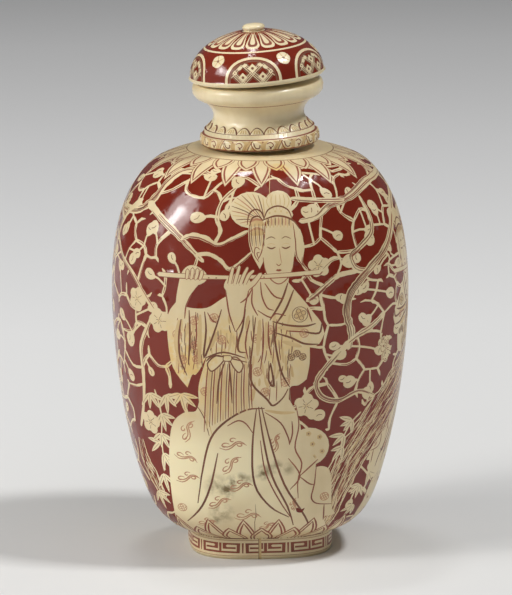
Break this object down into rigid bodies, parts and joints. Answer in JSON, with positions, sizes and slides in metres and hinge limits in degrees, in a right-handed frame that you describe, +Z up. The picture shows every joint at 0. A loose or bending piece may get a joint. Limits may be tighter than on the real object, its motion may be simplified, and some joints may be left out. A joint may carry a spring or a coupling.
{
  "type": "snuff bottle",
  "caption": "Hollow rounded ivory snuff bottle on a low square foot, with a turned neck and a domed lift-off stopper.",
  "frame": {"origin": "centre of the foot on the standing surface", "axes": "+Z up along the bottle's height, -Y towards the front picture, +X to the viewer's right"},
  "size_m": [0.0422, 0.0358, 0.0758],
  "materials": {
    "lacquered_ivory": "polished ivory drawing left in reserve on a glossy red lacquer ground",
    "ivory": "polished cream ivory, brown in the carved lines",
    "lacquered_dome": "glossy red lacquer with ivory lines in reserve"
  },
  "bodies": {
    "root": {"bottle_body": "lacquered_ivory", "neck": "ivory", "stopper": "lacquered_dome"}
  },
  "joints": []
}
